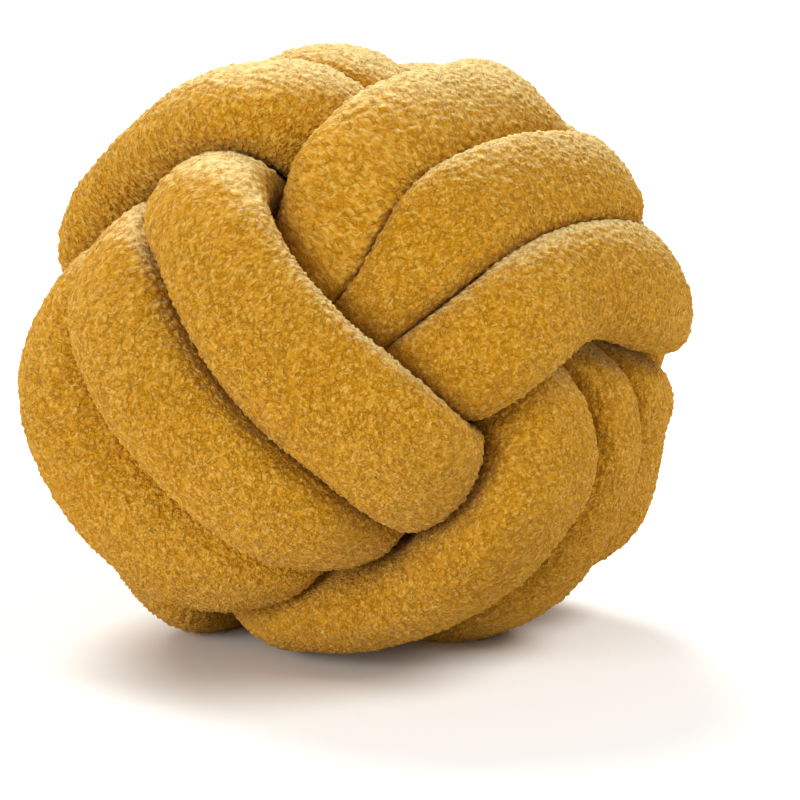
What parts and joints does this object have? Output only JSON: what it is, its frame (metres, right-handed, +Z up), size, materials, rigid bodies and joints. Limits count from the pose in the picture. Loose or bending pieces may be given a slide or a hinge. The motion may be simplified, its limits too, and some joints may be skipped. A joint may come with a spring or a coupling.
{
  "type": "knot cushion",
  "caption": "Round cushion tied from one long stuffed fleece tube, its passes crossing over and under in a basket-like ball with a small flat resting spot.",
  "frame": {"origin": "middle of the bounding box's bottom face, on the surface the cushion rests on", "axes": "+Z up, -Y towards the side shown in the picture, +X to that view's right"},
  "size_m": [0.2065, 0.2026, 0.1847],
  "materials": {
    "fleece": "golden mustard curly fleece with a short dense pile, matt with a soft sheen"
  },
  "bodies": {
    "root": {"knotted_tube": "fleece"}
  },
  "joints": []
}
